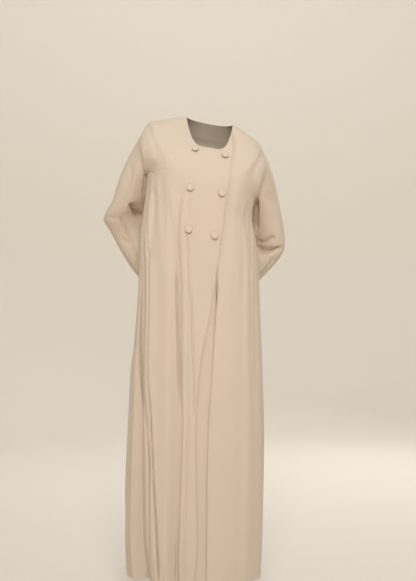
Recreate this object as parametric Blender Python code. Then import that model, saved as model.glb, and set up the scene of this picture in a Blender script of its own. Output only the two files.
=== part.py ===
"""Full-length double-breasted coat abaya, worn, held up at the shoulders.

Metres, +Z up, front towards -Y. The origin is the middle of the neck's base.
Right and left are the garment's own, so its right side is at -X.
"""

from collections import namedtuple
from math import asin, cos, degrees, exp, hypot, pi, radians, sin, sqrt

import bmesh
import bpy
from mathutils import Matrix, Vector
from mathutils.bvhtree import BVHTree

MM = 0.001

# Driving sizes, in millimetres
CLOTH = 1.6             # wall of crepe with its turned edges
SEAM_GAP = 0.3          # between two pieces that are sewn together
LAP_DEPTH = 4.0         # how far the under front lies inside the top front
LAP_RUN = 14.0          # degrees over which the under front sinks to that depth
LAP_CLEAR = 2.0         # degrees beyond the top front's edge where it is fully down
HIDDEN_RUN = 10.0       # degrees over which it then drops behind the top front's folds
BUTTON_RADIUS = 11.0
BUTTON_DOME = 6.0       # height of the covered dome
BUTTON_RIM = 1.6        # height of its straight rim
BUTTON_SIDES = 12
SEAT_PROBES = 12        # places round a button's back where the cloth's height is taken
ARMHOLE_FRONT = 38.0    # degrees from the side to the armhole's front edge
ARMHOLE_BACK = 34.0
ARMHOLE_STEPS = 7       # rows from shoulder point to underarm
ARMHOLE_POINT = 1.4     # above 1, the armhole is more pointed at its ends than a circle
SHOULDER = 2            # section numbers of the armhole's ends
UNDERARM = 3

# Rings round the body from neck to hem. side, front and back are heights, and tilt is how far
# the left side lies lower than the middle. hold says how long the front's height is held as
# the ring turns, corner below 1 squares the ring. edge and under are the free edges of the
# top and under front, in degrees from the middle of the front towards the left side.
Section = namedtuple(
    "Section",
    "name side front back tilt middle half_width front_depth back_depth hold corner edge under rows",
)
SECTIONS = [
    Section("neck", -4.5, -100, -6, -13, 2, 72, 84, 62, 2.2, 1.00, 62.0, -56.0, 2),
    Section("yoke", -24, -142, -46, -24, -4, 124, 112, 92, 1.6, 0.92, 32.0, -24.0, 2),
    Section("shoulder", -52, -192, -92, -41, -10, 176, 125, 112, 1.2, 0.85, 20.5, -15.0, 0),
    Section("underarm", -211, -256, -230, -39, -25, 166, 130, 122, 1.0, 0.85, 23.5, -13.0, 1),
    Section("chest", -300, -311, -304, -14, -35, 168, 130, 116, 1.0, 0.85, 24.5, -11.0, 1),
    Section("ribs", -375, -378, -376, -4, -35.5, 180, 128, 110, 1.0, 0.85, 19.8, -12.0, 1),
    Section("waist", -477, -477, -477, 0, -32, 186, 127, 108, 1.0, 0.85, 13.7, -17.0, 1),
    Section("hip", -600, -600, -600, 0, -33, 192, 129, 114, 1.0, 0.85, 8.1, -20.0, 2),
    Section("thigh", -760, -758, -762, 0, -36, 202, 135, 138, 1.0, 0.85, 1.6, -23.0, 2),
    Section("knee", -940, -936, -944, 0, -38, 209, 141, 158, 1.0, 0.85, -0.3, -23.0, 2),
    Section("calf", -1130, -1125, -1136, 0, -43, 213, 146, 173, 1.0, 0.85, 0.6, -22.0, 2),
    Section("ankle", -1300, -1293, -1310, 0, -47, 213, 149, 183, 1.0, 0.85, 1.6, -22.0, 1),
    Section("hem", -1409, -1402, -1424, 0, -47, 208, 150, 187, 1.0, 0.85, 0.2, -22.0, 0),
]

# Fold lines that run down the cloth, all round. Each begins at a section number, and has its
# turn in degrees and how far the cloth stands out there, at chest, thigh and hem. columns
# counts the columns of faces up to the next line.
Fold = namedtuple("Fold", "name begins chest chest_out thigh thigh_out hem hem_out columns")
FOLDS = [
    Fold("right_side", 2, -90, 0, -90, 0, -90, 0, 2),
    Fold("flare", 2, -82, -2, -75, -4, -67, -10, 2),
    Fold("tuck", 2, -73, -8, -64, -24, -52, -46, 3),
    Fold("turn", 2, -60, 2, -46, 3, -25, 4, 2),
    Fold("chest_hollow", 2, -44, -3, -33, -2, -20, -1, 2),
    Fold("chest_swell", 2, -29, 1, -21, 3, -16, 5, 2),
    Fold("long_hollow", 2, -17.5, -9, -12, -13, -11, -15, 1),
    Fold("long_ridge", 2, -12, 1, -7.5, 2, -7.5, 3, 1),
    Fold("button_line", 2, -6.3, -2, -2.2, -5, -3, -7, 4),
    Fold("strip", 5.5, 12.5, 0, 6.8, -11, 6.0, -14, 1),
    Fold("lip", 5.5, 15, 0, 9.2, 0, 8.4, 0, 4),
    Fold("left_hollow", 2, 43, -4, 38, -6, 34, -8, 2),
    Fold("left_swell", 2, 51, 1, 46, 2, 45, 3, 2),
    Fold("left_tuck", 2, 60, -4, 55, -7, 57, -11, 2),
    Fold("left_turn", 2, 73, 1, 69, 3, 70, 4, 2),
    Fold("left_side", 2, 90, 0, 90, -1, 90, -2, 3),
    Fold("back_a", 2, 103, -3, 102, -9, 101, -17, 3),
    Fold("back_b", 2, 117, 2, 116, 4, 115, 6, 3),
    Fold("back_c", 2, 133, -3, 131, -12, 130, -23, 3),
    Fold("back_d", 2, 150, 2, 149, 5, 147, 9, 3),
    Fold("back_e", 2, 163, -2, 163, -8, 162, -17, 3),
    Fold("back_f", 2, 179, 2, 180, 5, 181, 8, 3),
    Fold("back_g", 2, 195, -3, 196, -13, 198, -25, 3),
    Fold("back_h", 2, 209, 1, 210, 4, 212, 6, 3),
    Fold("back_i", 2, 224, -2, 225, -7, 226, -13, 3),
    Fold("back_j", 2, 240, 2, 240, 4, 241, 9, 3),
    Fold("back_k", 2, 255, -3, 255, -9, 256, -16, 3),
    Fold("right_side_again", 2, 270, 0, 270, 0, 270, 0, 0),
]
FOLD_GROWTH = 2         # sections over which a fold grows to its full height
CHEST_LEVEL = 4
THIGH_LEVEL = 8
HEM_LEVEL = len(SECTIONS) - 1

# Rings down a sleeve after the armhole. The outer and inner points are in the view from the
# front, middle and half_deep are measured from front to back.
Ring = namedtuple("Ring", "outer_x outer_z inner_x inner_z middle half_deep")
RIGHT_SLEEVE = [
    Ring(-203, -36, -201, -175, 3, 75),
    Ring(-229, -80, -208, -185, 12, 67),
    Ring(-258, -132, -210, -202, 22, 63),
    Ring(-284, -188, -211, -225, 37, 60),
    Ring(-304, -246, -214, -252, 55, 58),
    Ring(-327, -286, -220, -281, 75, 57),
    Ring(-334, -308, -226, -300, 90, 56),
    Ring(-316, -343, -229, -321, 103, 54),
    Ring(-290, -394, -213, -350, 116, 52),
    Ring(-256, -450, -184, -393, 128, 50),
    Ring(-219, -498, -150, -434, 139, 47),
    Ring(-180, -538, -116, -474, 148, 44),
]
LEFT_SLEEVE = [
    Ring(176, -112, 152, -252, 8, 75),
    Ring(190, -143, 157, -262, 18, 68),
    Ring(204, -185, 159, -280, 32, 63),
    Ring(216, -228, 159, -299, 46, 60),
    Ring(226, -272, 158, -318, 60, 58),
    Ring(234, -316, 157, -340, 74, 57),
    Ring(240, -360, 155, -361, 88, 57),
    Ring(240, -398, 152, -378, 100, 56),
    Ring(222, -432, 146, -390, 110, 54),
    Ring(190, -470, 128, -414, 123, 52),
    Ring(154, -508, 97, -447, 136, 48),
    Ring(112, -545, 54, -484, 149, 44),
]
SLEEVE_ROWS = 2         # rows from one ring to the next

# Dents in a sleeve, round and pressed in by depth: ring number down the sleeve, turn in
# degrees from its outer side over the front, and reach along in rings and round in degrees.
Dent = namedtuple("Dent", "ring turn depth along round")
RIGHT_DENTS = [
    Dent(5.6, 140, 15, 1.0, 34),
    Dent(2.4, 60, 4, 1.6, 24),
    Dent(7.6, 60, 7, 0.7, 46),
]
LEFT_DENTS = [
    Dent(7.7, 120, 12, 0.6, 48),
    Dent(6.6, 150, 6, 0.6, 30),
    Dent(3.4, 50, 4, 1.4, 26),
]

# Buttons: x and height of their middles
Button = namedtuple("Button", "x z")
BUTTONS = [
    Button(-41, -107),
    Button(48, -126),
    Button(-56, -225),
    Button(38, -241),
    Button(-61, -350),
    Button(17, -368),
]

CLOTH_COLOUR = (0.70, 0.55, 0.41, 1.0)
BUTTON_COLOUR = (0.71, 0.56, 0.42, 1.0)


def clear_scene():
    for thing in list(bpy.data.objects):
        bpy.data.objects.remove(thing, do_unlink=True)


def part_collection():
    collection = bpy.data.collections.new("abaya_cloak")
    bpy.context.scene.collection.children.link(collection)
    return collection


def material(name, colour, roughness):
    made = bpy.data.materials.new(name)
    made.use_nodes = True
    shader = made.node_tree.nodes["Principled BSDF"]
    shader.inputs["Base Color"].default_value = colour
    shader.inputs["Roughness"].default_value = roughness
    shader.inputs["Metallic"].default_value = 0.0
    made.diffuse_color = colour
    return made


def mix(a, b, share):
    return a + (b - a) * share


def ease(share):
    share = min(max(share, 0.0), 1.0)
    return share * share * (3 - 2 * share)


def smooth_between(before, start, end, after, share):
    """A value on the smooth curve from start to end, which also passes before and after."""
    rise_in = (end - before) / 2
    rise_out = (after - start) / 2
    return (
        start
        + rise_in * share
        + (3 * (end - start) - 2 * rise_in - rise_out) * share**2
        + (2 * (start - end) + rise_in + rise_out) * share**3
    )


def row_between(rows, place, skip=0):
    """The row of a table at a place between two of its rows, without its first skip columns."""
    first = min(int(place), len(rows) - 2)
    share = place - first
    picks = [rows[min(max(first + step, 0), len(rows) - 1)][skip:] for step in (-1, 0, 1, 2)]
    return [smooth_between(*values, share) for values in zip(*picks)]


def section_at(level):
    return Section("between", *row_between(SECTIONS, level, skip=1))


def signed_power(value, power):
    return abs(value) ** power if value >= 0 else -(abs(value) ** power)


def fold_turn_and_out(fold, level):
    """Where a fold line runs at a level, and how far the cloth stands out there."""
    grown = ease((level - fold.begins) / FOLD_GROWTH)
    if level <= THIGH_LEVEL:
        share = max(0.0, (level - CHEST_LEVEL) / (THIGH_LEVEL - CHEST_LEVEL))
        out = mix(fold.chest_out, fold.thigh_out, share)
        return mix(fold.chest, fold.thigh, share), out * grown
    share = (level - THIGH_LEVEL) / (HEM_LEVEL - THIGH_LEVEL)
    return mix(fold.thigh, fold.hem, share), mix(fold.thigh_out, fold.hem_out, share) * grown


def stands_out(turn, level):
    """How far the folds push the cloth out at a turn round the body."""
    turn = (turn + 90) % 360 - 90
    before, out_before = fold_turn_and_out(FOLDS[0], level)
    for fold in FOLDS[1:]:
        here, out_here = fold_turn_and_out(fold, level)
        if turn <= here:
            return mix(out_before, out_here, ease((turn - before) / (here - before)))
        before, out_before = here, out_here
    return 0.0


def plain_ring(section, turn):
    """A point of a ring without folds, in the plan."""
    angle = radians(turn)
    depth = section.front_depth if cos(angle) > 0 else section.back_depth
    across = signed_power(sin(angle), section.corner)
    return section.middle + section.half_width * across, -depth * signed_power(
        cos(angle), section.corner
    )


def cloth_point(turn, level, inside=0.0):
    """A point of the garment's outer surface, or the given depth inside it."""
    section = section_at(level)
    x, y = plain_ring(section, turn)
    ahead = plain_ring(section, turn + 1)
    behind = plain_ring(section, turn - 1)
    run_x, run_y = ahead[0] - behind[0], ahead[1] - behind[1]
    run = hypot(run_x, run_y)
    out = stands_out(turn, level)
    end_height = section.front if cos(radians(turn)) > 0 else section.back
    to_end = 1 - (sin(radians(turn)) ** 2) ** section.hold
    z = mix(section.side, end_height, to_end)
    z += section.tilt * (x - section.middle) / section.half_width
    point = Vector((x + out * run_y / run, y - out * run_x / run, z)) * MM
    if inside:
        point -= cloth_normal(turn, level) * inside * MM
    return point


def cloth_normal(turn, level):
    step = 0.02
    high, low = max(level - step, 0), min(level + step, HEM_LEVEL)
    down = cloth_point(turn, low) - cloth_point(turn, high)
    along = cloth_point(turn + 1, level) - cloth_point(turn - 1, level)
    return down.cross(along).normalized()


def lap(turn, level):
    """How deep the under front lies at a turn: just under the top front's edge, and flat
    behind the deepest of its folds further in."""
    edge = section_at(level).edge
    shallow = LAP_DEPTH * ease((edge + LAP_CLEAR + LAP_RUN - turn) / LAP_RUN)
    deepest = fold_turn_and_out(lines("long_hollow", "long_hollow")[0], level)[1]
    flat = stands_out(turn, level) - deepest + LAP_DEPTH
    return mix(shallow, flat, ease((edge - turn) / HIDDEN_RUN))


def body_levels():
    """Levels of the rows from neck to hem, the armhole's spaced like points on a circle."""
    levels = []
    for number, section in enumerate(SECTIONS[:-1]):
        if number == SHOULDER:
            levels += [armhole_level(step) for step in range(ARMHOLE_STEPS)]
        else:
            levels += [number + row / section.rows for row in range(section.rows)]
    return levels + [HEM_LEVEL]


def armhole_level(step):
    return SHOULDER + (1 - cos(pi * step / ARMHOLE_STEPS)) / 2 * (UNDERARM - SHOULDER)


def armhole_width(level):
    """The share of the armhole's half width that is open at a level."""
    if not SHOULDER < level < UNDERARM:
        return 0.0
    return sqrt(max(0.0, 1 - (2 * (level - SHOULDER) - 1) ** 2)) ** ARMHOLE_POINT


def into_armhole(turn, level, side_turn):
    """The direction along the cloth from the armhole's edge into its opening."""
    middle_level = (SHOULDER + UNDERARM) / 2
    inner = cloth_point(mix(turn, side_turn, 0.1), mix(level, middle_level, 0.1))
    across = inner - cloth_point(turn, level)
    normal = cloth_normal(turn, level)
    return (across - normal * across.dot(normal)).normalized()


def columns_between(turns, counts):
    """Turns of all columns, from the guide lines' turns and the columns up to each next one."""
    columns = []
    for start, end, count in zip(turns, turns[1:], counts):
        columns += [mix(start, end, step / count) for step in range(count)]
    return columns + [turns[-1]]


def squeeze(turns, low, high):
    """The same turns, fitted between new ends."""
    share = (high - low) / (turns[-1] - turns[0])
    return [low + (turn - turns[0]) * share for turn in turns]


def panel_grid(guides, counts, first_seam, last_seam, depth):
    """Outer and inner points of a panel.

    guides(level) gives its guide lines' turns, counts the columns between them, and
    depth(turn, level) how deep it lies. A seam is (the side's turn, the armhole's half width
    in degrees), or None at a free edge.
    """
    outer, inner = [], []
    for level in body_levels():
        turns = columns_between(guides(level), counts)
        low, high = turns[0], turns[-1]
        if first_seam:
            low += first_seam[1] * armhole_width(level)
        if last_seam:
            high -= last_seam[1] * armhole_width(level)
        turns = squeeze(turns, low, high)
        row = [cloth_point(turn, level, depth(turn, level)) for turn in turns]
        thick = [cloth_normal(turn, level) * CLOTH * MM for turn in turns]
        under = [point - wall for point, wall in zip(row, thick)]
        for seam, at, beside in ((first_seam, 0, 1), (last_seam, -1, -2)):
            if not seam:
                continue
            if SHOULDER <= level <= UNDERARM:
                shift = into_armhole(turns[at], level, seam[0]) * (-SEAM_GAP / 2 * MM)
                row[at] += shift
                under[at] += shift
            if level <= SHOULDER or level >= UNDERARM:
                shift = (row[beside] - row[at]).normalized() * (SEAM_GAP / 2 * MM)
                row[at] += shift
                under[at] += shift
        outer.append(row)
        inner.append(under)
    return outer, inner


def wall(name, outer, inner, closed, look, collection):
    """A closed wall of cloth between an outer and an inner grid of points."""
    mesh_builder = bmesh.new()
    front, lining = [
        [[mesh_builder.verts.new(point) for point in row] for row in grid]
        for grid in (outer, inner)
    ]
    rows, columns = len(outer), len(outer[0])
    last = columns if closed else columns - 1
    for row in range(rows - 1):
        for column in range(last):
            after = (column + 1) % columns
            corners = ((row, column), (row + 1, column), (row + 1, after), (row, after))
            for layer in (front, lining):
                mesh_builder.faces.new([layer[r][c] for r, c in corners])
    ends = [[(row, column) for column in range(columns)] for row in (0, rows - 1)]
    if closed:
        half = columns // 2
        ends = [end[: half + 1] for end in ends] + [[end[0]] + end[:half - 1 : -1] for end in ends]
    else:
        ends += [[(row, column) for row in range(rows)] for column in (0, columns - 1)]
    for end in ends:
        for (row, column), (row_after, column_after) in zip(end, end[1:]):
            here, after = front[row][column], front[row_after][column_after]
            back_here, back_after = lining[row][column], lining[row_after][column_after]
            mesh_builder.faces.new((here, after, back_after))
            mesh_builder.faces.new((here, back_after, back_here))
    bmesh.ops.recalc_face_normals(mesh_builder, faces=mesh_builder.faces)
    bmesh.ops.triangulate(mesh_builder, faces=mesh_builder.faces)
    return finished(name, mesh_builder, look, collection)


def finished(name, mesh_builder, look, collection):
    mesh = bpy.data.meshes.new(name)
    mesh_builder.to_mesh(mesh)
    mesh_builder.free()
    mesh.materials.append(look)
    mesh.shade_smooth()
    mesh.set_sharp_from_angle(angle=radians(50))
    piece = bpy.data.objects.new(name, mesh)
    collection.objects.link(piece)
    return piece


def lines(first, last):
    """The fold lines from one name to another."""
    names = [fold.name for fold in FOLDS]
    return FOLDS[names.index(first) : names.index(last) + 1]


def fold_turns(folds, level):
    return [fold_turn_and_out(fold, level)[0] for fold in folds]


def make_front_right(look, collection):
    """The top front, from the right side to its free edge, which carries the buttons."""
    folds = lines("right_side", "button_line")

    def guides(level):
        turns = fold_turns(folds, level)
        return turns + [section_at(level).edge]

    grid = panel_grid(
        guides,
        [fold.columns for fold in folds],
        (-90, ARMHOLE_FRONT),
        None,
        lambda turn, level: 0.0,
    )
    return wall("front_right", *grid, False, look, collection)


def make_front_left(look, collection):
    """The under front, from its free edge under the top front to the left side."""
    folds = lines("strip", "left_side")

    def guides(level):
        return [section_at(level).under] + fold_turns(folds, level)

    grid = panel_grid(
        guides,
        [5] + [fold.columns for fold in folds[:-1]],
        None,
        (90, ARMHOLE_FRONT),
        lap,
    )
    wall("front_left", *grid, False, look, collection)


def make_back(look, collection):
    folds = lines("left_side", "right_side_again")
    grid = panel_grid(
        lambda level: fold_turns(folds, level),
        [fold.columns for fold in folds[:-1]],
        (90, ARMHOLE_BACK),
        (270, ARMHOLE_BACK),
        lambda turn, level: 0.0,
    )
    wall("back", *grid, False, look, collection)


def armhole_ring(side_turn):
    """A sleeve's first ring, down the front and up the back of the armhole, half a seam gap
    off the seam, and the directions along the body's cloth into the opening."""
    front_sign = 1 if side_turn < 0 else -1
    places = []
    for step in range(ARMHOLE_STEPS + 1):
        level = armhole_level(step)
        open_share = armhole_width(level)
        places.append((side_turn + front_sign * ARMHOLE_FRONT * open_share, level))
    for step in range(ARMHOLE_STEPS - 1, 0, -1):
        level = armhole_level(step)
        open_share = armhole_width(level)
        places.append((side_turn - front_sign * ARMHOLE_BACK * open_share, level))
    inward = [into_armhole(turn, level, side_turn) for turn, level in places]
    half_gap = SEAM_GAP / 2 * MM
    ring = [cloth_point(*place) + way * half_gap for place, way in zip(places, inward)]
    return ring, inward


def dent(dents, place, turn):
    """How far a sleeve is pressed in at a ring number and a turn."""
    pressed = 0.0
    for mark in dents:
        off = ((turn - mark.turn + 180) % 360 - 180) / mark.round
        along = (place - mark.ring) / mark.along
        pressed += mark.depth * exp(-(off**2) - along**2)
    return pressed


def sleeve_ring(rings, dents, place, count):
    """A ring of a sleeve: from its outer side over the front to its inner side and back."""
    ring = Ring(*row_between(rings, place))
    outer = Vector((ring.outer_x, ring.middle, ring.outer_z))
    inner = Vector((ring.inner_x, ring.middle, ring.inner_z))
    middle, out = (outer + inner) / 2, (outer - inner) / 2
    front = Vector((0, -ring.half_deep, 0))
    points = []
    for step in range(count):
        turn = 2 * pi * step / count
        size = 1 - dent(dents, place, degrees(turn)) / ring.half_deep
        points.append((middle + size * (out * cos(turn) + front * sin(turn))) * MM)
    return points


def grid_normals(grid, out_sign):
    """Outward normals of a tube's points."""
    count = len(grid[0])
    normals = []
    for row, ring in enumerate(grid):
        below = grid[min(row + 1, len(grid) - 1)]
        above = grid[max(row - 1, 0)]
        line = []
        for column in range(count):
            down = below[column] - above[column]
            along = ring[(column + 1) % count] - ring[column - 1]
            line.append(down.cross(along).normalized() * out_sign)
        normals.append(line)
    return normals


def off_the_panel(normal, inward):
    """A sleeve's normal at its armhole, turned so that its wall doesn't lean into the body's."""
    lean = normal.dot(inward)
    return (normal - inward * lean).normalized() if lean > 0 else normal


def make_sleeve(name, side_turn, rings, dents, look, collection):
    first, inward = armhole_ring(side_turn)
    last = len(rings) - 1
    outer = [first]
    for row in range(last * SLEEVE_ROWS + 1):
        outer.append(sleeve_ring(rings, dents, row / SLEEVE_ROWS, len(first)))
    normals = grid_normals(outer, 1 if side_turn < 0 else -1)
    normals[0] = [off_the_panel(normal, way) for normal, way in zip(normals[0], inward)]
    inner = [
        [point - normal * CLOTH * MM for point, normal in zip(row, line)]
        for row, line in zip(outer, normals)
    ]
    wall(name, outer, inner, True, look, collection)


def place_on_front(x, z):
    """The turn and level of the top front's surface at an x and a height."""
    turn, level = 0.0, float(CHEST_LEVEL)
    for _ in range(60):
        point = cloth_point(turn, level) / MM
        section = section_at(level)
        turn += degrees(asin(min(max((x - point.x) / section.half_width, -0.5), 0.5)))
        below = cloth_point(turn, min(level + 0.1, HEM_LEVEL)) / MM
        above = cloth_point(turn, level) / MM
        level = min(max(level + 0.1 * (z - above.z) / (below.z - above.z), 0.0), HEM_LEVEL)
    return turn, level


def seat_on(cloth, spot):
    """Where a button's back touches the cloth, and the direction that it faces."""
    turn, level = place_on_front(spot.x, spot.z)
    facing = cloth_normal(turn, level)
    middle = cloth_point(turn, level)
    for _ in range(2):
        turned = facing.to_track_quat("Z", "Y")
        hits = []
        for step in range(SEAT_PROBES):
            angle = 2 * pi * step / SEAT_PROBES
            start = middle + turned @ Vector((cos(angle), sin(angle), 1)) * BUTTON_RADIUS * MM
            hits.append(cloth.ray_cast(start, -facing)[0])
        quarter = SEAT_PROBES // 4
        across, up = hits[0] - hits[2 * quarter], hits[quarter] - hits[3 * quarter]
        facing = across.cross(up).normalized()
    centre_hit = cloth.ray_cast(middle + facing * BUTTON_RADIUS * MM, -facing)[0]
    rise = max((hit - middle).dot(facing) for hit in hits + [centre_hit])
    return middle + facing * (rise + SEAM_GAP * MM), facing


def make_button(name, spot, cloth, look, collection):
    """A cloth-covered dome: a turned profile, closed by its flat back."""
    seat, normal = seat_on(cloth, spot)
    profile = [(0.0, 0.0), (BUTTON_RADIUS * 0.9, 0.0), (BUTTON_RADIUS, BUTTON_RIM * 0.5)]
    for step in range(5):
        angle = pi / 2 * step / 5
        reach = BUTTON_RADIUS * cos(angle)
        profile.append((reach, BUTTON_RIM + (BUTTON_DOME - BUTTON_RIM) * sin(angle)))
    profile.append((0.0, BUTTON_DOME))
    mesh_builder = bmesh.new()
    line = [mesh_builder.verts.new((x * MM, 0, z * MM)) for x, z in profile]
    edges = [mesh_builder.edges.new(pair) for pair in zip(line, line[1:])]
    bmesh.ops.spin(
        mesh_builder,
        geom=line + edges,
        cent=(0, 0, 0),
        axis=(0, 0, 1),
        angle=2 * pi,
        steps=BUTTON_SIDES,
        use_merge=True,
    )
    bmesh.ops.remove_doubles(mesh_builder, verts=mesh_builder.verts, dist=0.01 * MM)
    bmesh.ops.recalc_face_normals(mesh_builder, faces=mesh_builder.faces)
    facing = normal.to_track_quat("Z", "Y").to_matrix().to_4x4()
    bmesh.ops.transform(
        mesh_builder, matrix=Matrix.Translation(seat) @ facing, verts=mesh_builder.verts
    )
    finished(name, mesh_builder, look, collection)


def main():
    clear_scene()
    collection = part_collection()
    top_front = make_front_right(material("front_right_crepe", CLOTH_COLOUR, 0.85), collection)
    make_front_left(material("front_left_crepe", CLOTH_COLOUR, 0.85), collection)
    make_back(material("back_crepe", CLOTH_COLOUR, 0.85), collection)
    sleeve_look = material("sleeve_crepe", CLOTH_COLOUR, 0.85)
    make_sleeve("sleeve_right", -90, RIGHT_SLEEVE, RIGHT_DENTS, sleeve_look, collection)
    make_sleeve("sleeve_left", 90, LEFT_SLEEVE, LEFT_DENTS, sleeve_look, collection)
    button_look = material("button_crepe", BUTTON_COLOUR, 0.8)
    cloth = BVHTree.FromObject(top_front, bpy.context.evaluated_depsgraph_get())
    for number, spot in enumerate(BUTTONS, 1):
        make_button(f"button_{number}", spot, cloth, button_look, collection)


main()
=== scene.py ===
"""A full-length double-breasted coat abaya in crepe, hung on the form of the body that wears it.

Metres, +Z up, front towards -Y, origin in the middle of the neck's base. Right and left are the
garment's own. Tables hold millimetres and degrees.
"""

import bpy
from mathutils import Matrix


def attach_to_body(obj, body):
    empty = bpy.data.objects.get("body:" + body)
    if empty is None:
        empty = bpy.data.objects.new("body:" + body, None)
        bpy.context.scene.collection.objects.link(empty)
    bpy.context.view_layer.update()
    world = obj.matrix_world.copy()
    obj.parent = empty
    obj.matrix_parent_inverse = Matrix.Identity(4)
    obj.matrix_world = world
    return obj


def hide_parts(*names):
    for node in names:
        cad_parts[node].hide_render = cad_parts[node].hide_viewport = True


bl_info = {
    "name": "Abaya cloak",
    "version": (1, 0, 0),
    "blender": (4, 5, 0),
    "location": "3D View > Sidebar > Abaya",
    "description": "Cuts, drapes and sews a full-length double-breasted crepe abaya",
    "category": "Object",
}

from collections import namedtuple
from math import atan2, cos, hypot, pi, radians, sin

import bmesh
import bpy
import numpy as np
from bpy.props import FloatProperty, FloatVectorProperty, PointerProperty
from mathutils import Matrix, Vector
from mathutils.bvhtree import BVHTree

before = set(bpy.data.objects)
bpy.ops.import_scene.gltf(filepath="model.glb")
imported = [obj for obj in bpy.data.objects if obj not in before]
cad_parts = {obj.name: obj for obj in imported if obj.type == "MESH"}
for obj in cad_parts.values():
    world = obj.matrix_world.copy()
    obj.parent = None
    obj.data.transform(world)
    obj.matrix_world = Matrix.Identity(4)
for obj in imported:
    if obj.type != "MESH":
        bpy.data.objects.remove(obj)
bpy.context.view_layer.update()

MM = 0.001

# Rings round the body from neck to hem. side, front and back are heights, and tilt is how far
# the left side lies lower than the middle. hold says how long the front's height is held as
# the ring turns, corner below 1 squares the ring. edge and under are the free edges of the
# top and under front, in degrees from the middle of the front towards the left side. rows
# counts the rows of faces down to the next ring.
Section = namedtuple(
    "Section",
    "side front back tilt middle half_width front_depth back_depth hold corner edge under rows",
)
SECTIONS = [
    Section(-4.5, -100, -6, -13, 2, 72, 84, 62, 2.2, 1.00, 62.0, -56.0, 20),  # neck
    Section(-24, -142, -46, -24, -4, 124, 112, 92, 1.6, 0.92, 32.0, -24.0, 12),  # yoke
    Section(-52, -192, -92, -41, -10, 176, 125, 112, 1.2, 0.85, 20.5, -15.0, 54),  # shoulder
    Section(-211, -256, -230, -39, -25, 166, 130, 122, 1.0, 0.85, 23.5, -13.0, 16),  # underarm
    Section(-300, -311, -304, -14, -35, 168, 130, 116, 1.0, 0.85, 24.5, -11.0, 9),  # chest
    Section(-375, -378, -376, -4, -35.5, 180, 128, 110, 1.0, 0.85, 19.8, -12.0, 11),  # ribs
    Section(-477, -477, -477, 0, -32, 186, 127, 108, 1.0, 0.85, 13.7, -17.0, 12),  # waist
    Section(-600, -600, -600, 0, -33, 192, 129, 114, 1.0, 0.85, 8.1, -20.0, 16),  # hip
    Section(-760, -758, -762, 0, -36, 202, 135, 138, 1.0, 0.85, 1.6, -23.0, 18),  # thigh
    Section(-940, -936, -944, 0, -38, 209, 141, 158, 1.0, 0.85, -0.3, -23.0, 19),  # knee
    Section(-1130, -1125, -1136, 0, -43, 213, 146, 173, 1.0, 0.85, 0.6, -22.0, 17),  # calf
    Section(-1300, -1293, -1310, 0, -47, 213, 149, 183, 1.0, 0.85, 1.6, -22.0, 14),  # ankle
    Section(-1409, -1402, -1424, 0, -47, 208, 150, 187, 1.0, 0.85, 0.2, -22.0, 0),  # hem
]
SECTION_NUMBERS = np.array(SECTIONS, float)
HEM_LEVEL = len(SECTIONS) - 1
CHEST_LEVEL = 4
THIGH_LEVEL = 8

# Fold lines that run down the cloth, all round. Each begins at a section number, and has its
# turn in degrees and how far the cloth stands out there, at chest, thigh and hem. columns
# counts the columns of faces up to the next line.
Fold = namedtuple("Fold", "name begins chest chest_out thigh thigh_out hem hem_out columns")
FOLDS = [
    Fold("right_side", 2, -90, 0, -90, 0, -90, 0, 16),
    Fold("flare", 2, -82, -2, -75, -4, -67, -10, 22),
    Fold("tuck", 2, -73, -8, -64, -24, -52, -46, 44),
    Fold("turn", 2, -60, 2, -46, 3, -25, 4, 16),
    Fold("chest_hollow", 2, -44, -3, -34, -2, -22, 0, 14),
    Fold("chest_swell", 2, -29, 1, -23, 2, -18.5, 3, 24),
    Fold("long_hollow", 2, -17.5, -7, -12, -10, -11, -11, 16),
    Fold("long_ridge", 2, -12, 1, -7.5, 2, -7.5, 3, 16),
    Fold("button_line", 2, -6.3, -2, -2.2, -5, -3, -7, 44),
    Fold("strip", 5.5, 12.5, 0, 6.8, -6, 5.2, -7, 12),
    Fold("lip", 5.5, 15, 0, 9.2, 0, 7.5, 0, 34),
    Fold("left_hollow", 2, 43, -3, 38, -3, 34, -2, 12),
    Fold("left_swell", 2, 51, 1, 46, 1, 45, 1, 12),
    Fold("left_tuck", 2, 60, -2, 55, -1, 57, -1, 15),
    Fold("left_turn", 2, 73, 1, 69, 2, 70, 2, 18),
    Fold("left_side", 2, 90, 0, 90, -1, 90, -2, 13),
    Fold("back_a", 2, 103, -3, 102, -9, 101, -17, 13),
    Fold("back_b", 2, 117, 2, 116, 4, 115, 6, 13),
    Fold("back_c", 2, 133, -3, 131, -12, 130, -23, 13),
    Fold("back_d", 2, 150, 2, 149, 5, 147, 9, 13),
    Fold("back_e", 2, 163, -2, 163, -8, 162, -17, 13),
    Fold("back_f", 2, 179, 2, 180, 5, 181, 8, 13),
    Fold("back_g", 2, 195, -3, 196, -13, 198, -25, 13),
    Fold("back_h", 2, 209, 1, 210, 4, 212, 6, 13),
    Fold("back_i", 2, 224, -2, 225, -7, 226, -13, 13),
    Fold("back_j", 2, 240, 2, 240, 4, 241, 9, 13),
    Fold("back_k", 2, 255, -3, 255, -9, 256, -16, 13),
    Fold("right_side_again", 2, 270, 0, 270, 0, 270, 0, 0),
]
FOLD_NAMES = [fold.name for fold in FOLDS]
FOLD_GROWTH = 2         # sections over which a fold grows to its full height
COLUMN_CROWDING = 0.6   # how much closer together the columns stand beside a fold line

# Degrees by which the under front's strip and lip wander from their straight lines, by section
WANDERING_FOLDS = ("strip", "lip")
FOLD_WANDER = np.array([0, 0, 0, 0, 0, 1.0, 1.7, 1.4, 0, -2.2, -1.9, -0.6, 0])

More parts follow.
